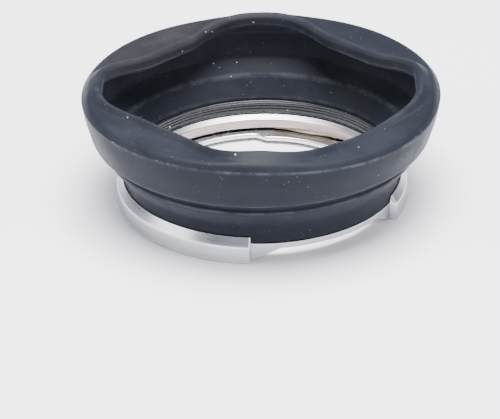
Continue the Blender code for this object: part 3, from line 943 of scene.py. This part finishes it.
def new_geometry_tree(name: str, inputs: dict[str, tuple[str, object]]
                      ) -> tuple[bpy.types.NodeTree, Nodes, dict, bpy.types.Node]:
    """Start a Geometry Nodes tree.

    Args:
        name: the tree's name.
        inputs: each input's socket type and default value.

    Returns:
        The tree, its helper, its input sockets by name and its output node.
    """
    tree = bpy.data.node_groups.new(name, "GeometryNodeTree")
    tree.interface.new_socket("Geometry", in_out="OUTPUT", socket_type="NodeSocketGeometry")
    for label, (kind, value) in inputs.items():
        socket = tree.interface.new_socket(label, in_out="INPUT", socket_type=kind)
        if value is not None:
            socket.default_value = value
    nodes = Nodes(tree)
    given = nodes.add("NodeGroupInput")
    result = nodes.add("NodeGroupOutput")
    return tree, nodes, {s.name: s for s in given.outputs if s.name}, result


def grow(name: str, tree: bpy.types.NodeTree, values: dict[str, object],
         material: bpy.types.Material) -> bpy.types.Object:
    """Run a Geometry Nodes tree and keep its result as a plain mesh.

    Args:
        name: the piece's name.
        tree: the tree to run.
        values: its inputs, by name.
        material: the piece's material.

    Returns:
        The finished piece.
    """
    piece = bpy.data.objects.new(name, bpy.data.meshes.new(name))
    bpy.context.scene.collection.objects.link(piece)
    modifier = piece.modifiers.new(name, "NODES")
    modifier.node_group = tree
    for item in tree.interface.items_tree:
        if item.item_type == "SOCKET" and item.in_out == "INPUT" and item.name in values:
            modifier[item.identifier] = values[item.name]
    bake_modifiers(piece)
    piece.data.materials.clear()
    piece.data.materials.append(material)
    piece.data.shade_smooth()
    piece.data.set_sharp_from_angle(angle=math.radians(40.0))
    return piece


def finish_tree(nodes: Nodes, result: bpy.types.Node, geometry: bpy.types.NodeSocket,
                material: bpy.types.NodeSocket) -> None:
    """End a tree: make its instances real and give it its material."""
    real = nodes.add("GeometryNodeRealizeInstances", Geometry=geometry)
    dressed = nodes.add("GeometryNodeSetMaterial", Geometry=real.outputs[0], Material=material)
    nodes.feed(result, "Geometry", dressed.outputs[0])


def wound_thread(root: float, ridge: float, turns: float, bottom: float, rise: float,
                 material: bpy.types.Material) -> bpy.types.Object:
    """Wind a helical ridge with Geometry Nodes.

    Args:
        root: radius of the helix.
        ridge: radius of the ridge's own round section.
        turns: number of turns.
        bottom: height of its start.
        rise: height from start to end.
        material: its material.

    Returns:
        The thread's piece.
    """
    tree, nodes, given, result = new_geometry_tree("thread_helix", {
        "Root Radius": (FLOAT, 0.0216), "Ridge Radius": (FLOAT, 0.00013),
        "Turns": (FLOAT, 4.0), "Bottom": (FLOAT, 0.004), "Rise": (FLOAT, 0.002),
        "Material": ("NodeSocketMaterial", None)})
    spiral = nodes.add("GeometryNodeCurveSpiral", Resolution=200, Rotations=given["Turns"],
                       Start_Radius=given["Root Radius"], End_Radius=given["Root Radius"],
                       Height=given["Rise"])
    lift = nodes.add("ShaderNodeCombineXYZ", Z=given["Bottom"])
    placed = nodes.add("GeometryNodeSetPosition", Geometry=spiral.outputs[0],
                       Offset=lift.outputs[0])
    profile = nodes.add("GeometryNodeCurvePrimitiveCircle", Resolution=8,
                        Radius=given["Ridge Radius"])
    ridge_mesh = nodes.add("GeometryNodeCurveToMesh", Curve=placed.outputs[0],
                           Profile_Curve=profile.outputs[0], Fill_Caps=True)
    finish_tree(nodes, result, ridge_mesh.outputs[0], given["Material"])
    return grow("filter_thread", tree, {
        "Root Radius": root, "Ridge Radius": ridge, "Turns": turns, "Bottom": bottom,
        "Rise": rise, "Material": material}, material)


@dataclass(frozen=True)
class ScrewSizes:
    """Where the plate screws stand and how large they are."""

    circle: float
    first: float
    pitch: float
    count: int
    bottom: float
    length: float
    head: float
    head_height: float = 0.3 * MM
    shank: float = 0.3 * MM
    slot_width: float = 0.18 * MM
    slot_depth: float = 0.12 * MM


def set_screws(sizes: ScrewSizes, material: bpy.types.Material) -> bpy.types.Object:
    """Place slotted screws on a circle with Geometry Nodes, their heads downwards.

    Args:
        sizes: their places and sizes.
        material: their material.

    Returns:
        One piece that holds every screw.
    """
    tree, nodes, given, result = new_geometry_tree("plate_screws", {
        "Circle": (FLOAT, 0.0217), "First": (FLOAT, 0.4), "Pitch": (FLOAT, 1.57),
        "Count": ("NodeSocketInt", 3), "Bottom": (FLOAT, 0.0004), "Length": (FLOAT, 0.0021),
        "Head Radius": (FLOAT, 0.00055), "Head Height": (FLOAT, 0.0003),
        "Shank Radius": (FLOAT, 0.0003), "Slot Width": (FLOAT, 0.00018),
        "Slot Depth": (FLOAT, 0.00012), "Material": ("NodeSocketMaterial", None)})
    head = nodes.add("GeometryNodeMeshCylinder", Vertices=32, Radius=given["Head Radius"],
                     Depth=given["Head Height"])
    slot_reach = nodes.math("MULTIPLY", given["Head Radius"], 3.0)
    slot_size = nodes.add("ShaderNodeCombineXYZ", X=slot_reach,
                          Y=given["Slot Width"],
                          Z=nodes.math("MULTIPLY", given["Slot Depth"], 2.0))
    slot_bar = nodes.add("GeometryNodeMeshCube", Size=slot_size.outputs[0])
    low = nodes.math("MULTIPLY", given["Head Height"], -0.5)
    slot_place = nodes.add("ShaderNodeCombineXYZ", Z=low)
    slot = nodes.add("GeometryNodeTransform", Geometry=slot_bar.outputs[0],
                     Translation=slot_place.outputs[0])
    slotted = nodes.add("GeometryNodeMeshBoolean", {"operation": "DIFFERENCE"},
                        Mesh_1=head.outputs[0], Mesh_2=slot.outputs[0])
    shank_length = nodes.math("SUBTRACT", given["Length"], given["Head Height"])
    shank = nodes.add("GeometryNodeMeshCylinder", Vertices=24, Radius=given["Shank Radius"],
                      Depth=shank_length)
    shank_place = nodes.add("ShaderNodeCombineXYZ", Z=nodes.math("MULTIPLY", given["Length"], 0.5))
    raised = nodes.add("GeometryNodeTransform", Geometry=shank.outputs[0],
                       Translation=shank_place.outputs[0])
    screw = nodes.add("GeometryNodeJoinGeometry")
    for part in (slotted.outputs[0], raised.outputs[0]):
        nodes.feed(screw, "Geometry", part)
    index = nodes.add("GeometryNodeInputIndex").outputs[0]
    angle = nodes.math("ADD", given["First"], nodes.math("MULTIPLY", index, given["Pitch"]))
    height = nodes.math("ADD", given["Bottom"], nodes.math("MULTIPLY", given["Head Height"], 0.5))
    spot = nodes.add("ShaderNodeCombineXYZ",
                     X=nodes.math("MULTIPLY", given["Circle"], nodes.math("COSINE", angle)),
                     Y=nodes.math("MULTIPLY", given["Circle"], nodes.math("SINE", angle)),
                     Z=height)
    points = nodes.add("GeometryNodePoints", Count=given["Count"], Position=spot.outputs[0])
    turn = nodes.add("ShaderNodeCombineXYZ", Z=nodes.math("MULTIPLY", angle, 1.7))
    placed = nodes.add("GeometryNodeInstanceOnPoints", Points=points.outputs[0],
                       Instance=screw.outputs[0], Rotation=turn.outputs[0])
    finish_tree(nodes, result, placed.outputs[0], given["Material"])
    return grow("slotted_screws", tree, {
        "Circle": sizes.circle, "First": sizes.first, "Pitch": sizes.pitch,
        "Count": sizes.count, "Bottom": sizes.bottom, "Length": sizes.length,
        "Head Radius": sizes.head, "Head Height": sizes.head_height,
        "Shank Radius": sizes.shank, "Slot Width": sizes.slot_width,
        "Slot Depth": sizes.slot_depth, "Material": material}, material)


# ------------------------------------------------------------- the rubber


@dataclass
class RubberShade:
    """The rubber moulding: collar, folding web with its ridge, wall, flange and bead."""

    finishes: Finishes
    collar: float = 22.6 * MM
    collar_inner: float = 21.95 * MM
    hook: float = 22.15 * MM
    collar_bottom: float = 3.2 * MM
    hook_height: float = 5.9 * MM
    ridge: float = 25.5 * MM
    ridge_height: float = 9.7 * MM
    foot: float = 27.4 * MM
    foot_height: float = 11.8 * MM
    crest_height: float = 18.6 * MM
    wall: float = 1.5 * MM
    flange_rise: float = 0.9 * MM
    flange_wall: float = 1.4 * MM
    bead_height: float = 1.6 * MM
    bead_width: float = 1.8 * MM
    opening_side: float = 20.4 * MM
    opening_corner: float = 24.9 * MM
    side_straight: float = math.radians(12.0)
    flap_dip: float = 1.0 * MM
    sag_centre: float = math.radians(-42.0)
    sag_width: float = math.radians(58.0)
    sag: float = 1.15 * MM
    sag_widening: float = 1.0 * MM
    left_centre: float = math.radians(228.0)
    left_width: float = math.radians(50.0)
    left_widening: float = 0.4 * MM
    left_drop: float = 0.10 * MM
    pull: float = 0.55 * MM
    pull_width: float = math.radians(40.0)
    blend_start: float = 6.8 * MM
    blend_end: float = 11.0 * MM

    def corner_share(self, angle: float) -> float:
        """Return 0 along the straight of a side, easing to 1 at the opening's corners."""
        eighth = 0.125 * TURN
        from_side = angle_from(angle, eighth, 2.0 * eighth)
        return smooth((from_side - self.side_straight) / (eighth - self.side_straight))

    def opening(self, angle: float) -> float:
        """Return the radius of the squared opening, slack where the rubber sags."""
        eighth = 0.125 * TURN
        straight = self.opening_side / math.cos(angle_from(angle, eighth, 2.0 * eighth))
        nominal = straight + (self.opening_corner - straight) * self.corner_share(angle)
        slack = bump(angle, self.sag_centre, 0.8 * self.sag_width)
        spread = bump(angle, self.left_centre, 0.8 * self.sag_width)
        widen = self.sag_widening * slack + self.left_widening * spread
        pulled = self.pull * bump(angle, math.pi, self.pull_width)
        return nominal + widen * (1.0 - self.corner_share(angle)) + pulled

    def section(self, angle: float) -> list[Corner]:
        """Return the moulding's section at an angle."""
        crest = node_box("rubber_rim")[1].x
        opening = self.opening(angle)
        dip = self.flap_dip * (1.0 - self.corner_share(angle))
        edge = self.crest_height + self.flange_rise - dip
        top = edge + self.bead_height
        inner_wall = crest - self.wall
        return [
            Corner(opening + 0.48 * self.bead_width, top, 0.50 * MM, 0.15),
            Corner(opening + 0.90 * self.bead_width, top - 0.28 * self.bead_height, 0.45 * MM),
            Corner(opening + 1.25 * self.bead_width, edge + 0.70 * MM, 0.70 * MM),
            Corner(crest - 0.85 * MM, self.crest_height + 1.15 * MM, 1.00 * MM),
            Corner(crest, self.crest_height, 0.16 * MM, 0.9),
            Corner(crest - 0.45 * MM, self.crest_height - 2.6 * MM, 1.20 * MM),
            Corner(self.foot + 0.15 * MM, self.foot_height + 0.70 * MM, 0.45 * MM),
            Corner(self.foot - 0.25 * MM, self.foot_height, 0.25 * MM, 0.6),
            Corner(self.ridge + 0.15 * MM, self.foot_height - 0.45 * MM, 0.35 * MM),
            Corner(self.ridge - 0.40 * MM, self.ridge_height + 0.75 * MM, 0.35 * MM),
            Corner(self.ridge, self.ridge_height + 0.10 * MM, 0.22 * MM, 0.7),
            Corner(self.ridge - 0.25 * MM, self.ridge_height - 0.50 * MM, 0.30 * MM),
            Corner(self.collar + 0.30 * MM, self.hook_height + 0.50 * MM, 0.80 * MM),
            Corner(self.collar, self.hook_height - 0.70 * MM, 0.50 * MM),
            Corner(self.collar, self.collar_bottom, 0.15 * MM, 0.2),
            Corner(self.collar_inner, self.collar_bottom, 0.08 * MM),
            Corner(self.collar_inner, self.hook_height, 0.04 * MM),
            Corner(self.hook, self.hook_height, 0.04 * MM),
            Corner(self.hook, self.hook_height + 0.70 * MM, 0.20 * MM, 0.3),
            Corner(self.ridge - 1.15 * MM, self.ridge_height + 0.30 * MM, 0.16 * MM, 0.55),
            Corner(inner_wall - 0.85 * MM, self.foot_height + 0.70 * MM, 0.45 * MM),
            Corner(inner_wall - 0.15 * MM, self.crest_height - self.flange_wall - 0.2 * MM,
                   0.60 * MM),
            Corner(opening + 0.95 * MM, edge - self.flange_wall + 0.15 * MM, 0.40 * MM),
            Corner(opening + 0.05 * MM, edge - 0.45 * MM, 0.22 * MM, 0.45),
            Corner(opening + 0.02 * MM, edge + 0.50 * self.bead_height, 0.30 * MM),
        ]

    def slump(self, angle: float, radius: float, height: float) -> tuple[float, float]:
        """Return a point's radius and height after the soft rubber has settled.

        Args:
            angle: the point's angle.
            radius: its moulded radius.
            height: its moulded height.

        Returns:
            The settled radius and height.
        """
        raised = smooth((height - self.foot_height) / (self.crest_height - self.foot_height))
        sag = self.sag * bump(angle, self.sag_centre, self.sag_width) * raised
        inward = smooth((25.5 * MM - radius) / (4.0 * MM)) * raised
        sag += 0.5 * self.sag * bump(angle, self.sag_centre, self.sag_width) * inward
        lift = -self.left_drop * bump(angle, self.left_centre, self.left_width) * raised
        wave = 0.07 * math.sin(2.0 * angle + 0.6) + 0.05 * math.sin(5.0 * angle + 1.9)
        wave += 0.03 * math.sin(9.0 * angle)
        limit = node_box("rubber_rim")[1].x
        return min(radius + (wave - 0.07) * MM * raised, limit), height - sag + lift

    def build(self) -> bpy.types.Object:
        """Mould the rubber in one skin."""
        rows, wear_and_highlight = [], []
        for angle in even_angles(400):
            section = rounded_section(self.section(angle), 4)
            row = []
            for point in section:
                radius, height = self.slump(angle, point.radius, point.height)
                row.append((*polar(radius, angle), height))
            rows.append(row)
            wear_and_highlight.append([p.wear_and_highlight for p in section])
        shade = make_piece("rubber_shade", loft("rubber_shade", rows, wear_and_highlight, True),
                           self.finishes.rubber)
        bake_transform(shade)
        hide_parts("rubber_collar", "rubber_fold", "rubber_rim")
        report(shade, Body.SHADE_FRONT)
        return shade


# ---------------------------------------------------------------- the stage


@dataclass(frozen=True)
class SoftLight:
    """One square soft light: where it stands, how large and how strong it is."""

    name: str
    place: tuple[float, float, float]
    size: float
    power: float
    colour: tuple[float, float, float] = (1.0, 1.0, 1.0)


@dataclass
class Stage:
    """The pale floor, the soft lights and the camera."""

    distance: float = 0.4118
    elevation: float = math.radians(27.95)
    pitch: float = math.radians(28.4)
    yaw: float = math.radians(-0.33)
    roll: float = math.radians(-1.15)
    raised: float = 0.50 * MM
    lens: float = 180.0
    sensor: float = 36.0
    lights: tuple[SoftLight, ...] = (
        SoftLight("top_light", (0.02, -0.03, 0.62), 0.42, 18.5),
        SoftLight("left_light", (-0.55, -0.12, 0.28), 0.30, 1.6),
        SoftLight("right_light", (0.50, -0.30, 0.30), 0.30, 1.8),
        SoftLight("front_light", (-0.10, -0.60, 0.42), 0.45, 0.3, (0.90, 0.94, 1.0)),
    )

    def build_floor(self) -> None:
        """Lay the pale floor."""
        reach = 4.0
        skin = bmesh.new()
        sides = ((-reach, -reach), (reach, -reach), (reach, reach), (-reach, reach))
        corners = [skin.verts.new((x, y, -0.0001)) for x, y in sides]
        skin.faces.new(corners)
        mesh = bpy.data.meshes.new("floor")
        skin.to_mesh(mesh)
        skin.free()
        material = bpy.data.materials.new("pale_paper")
        material.use_nodes = True
        nodes = Nodes(material.node_tree)
        shader = material.node_tree.nodes["Principled BSDF"]
        shader.inputs["Roughness"].default_value = 0.75
        shader.inputs["Specular IOR Level"].default_value = 0.2
        place = nodes.add("ShaderNodeTexCoord").outputs["Object"]
        noise = nodes.add("ShaderNodeTexNoise", Vector=place, Scale=400.0, Detail=4.0)
        tone = nodes.mix(noise.outputs[0], (0.90, 0.895, 0.94, 1.0), (0.93, 0.925, 0.965, 1.0))
        nodes.feed(shader, "Base Color", tone)
        floor = make_piece("floor", mesh, material)

    def build_lights(self) -> None:
        """Hang the lights and set the pale surroundings."""
        for light in self.lights:
            data = bpy.data.lights.new(light.name, "AREA")
            data.shape = "SQUARE"
            data.size = light.size
            data.energy = light.power
            data.color = light.colour
            lamp = bpy.data.objects.new(light.name, data)
            bpy.context.scene.collection.objects.link(lamp)
            lamp.location = light.place
            aim = Vector((0.0, 0.0, 0.01)) - Vector(light.place)
            lamp.rotation_mode = "QUATERNION"
            lamp.rotation_quaternion = aim.to_track_quat("-Z", "Y")
        world = bpy.data.worlds.new("pale_surroundings")
        world.use_nodes = True
        background = world.node_tree.nodes["Background"]
        background.inputs["Color"].default_value = (0.84, 0.89, 1.0, 1.0)
        background.inputs["Strength"].default_value = 0.42
        bpy.context.scene.world = world

    def build_camera(self) -> None:
        """Stand the camera in front of the shade, looking down at it."""
        eye = Vector((0.0, -self.distance * math.cos(self.elevation),
                      self.distance * math.sin(self.elevation)))
        ahead = Vector((math.sin(self.yaw) * math.cos(self.pitch),
                        math.cos(self.yaw) * math.cos(self.pitch), -math.sin(self.pitch)))
        right = ahead.cross(Vector((0.0, 0.0, 1.0))).normalized()
        up = right.cross(ahead)
        tilted_right = right * math.cos(self.roll) + up * math.sin(self.roll)
        tilted_up = up * math.cos(self.roll) - right * math.sin(self.roll)
        turn = Matrix((tilted_right, tilted_up, -ahead)).transposed().to_4x4()
        data = bpy.data.cameras.new("camera")
        data.lens = self.lens
        data.sensor_width = self.sensor
        data.clip_start = 0.01
        camera = bpy.data.objects.new("camera", data)
        bpy.context.scene.collection.objects.link(camera)
        camera.matrix_world = Matrix.Translation(eye + tilted_up * self.raised) @ turn
        bpy.context.scene.camera = camera

    def build(self) -> None:
        """Build the whole stage."""
        self.build_floor()
        self.build_lights()
        self.build_camera()


def main() -> None:
    """Build the shade and its stage."""
    logging.basicConfig(level=logging.INFO, format="%(message)s")
    finishes = Finishes.make()
    Stage().build()
    MountAssembly(finishes).build()
    RubberShade(finishes).build()


if __name__ == "__main__":
    main()
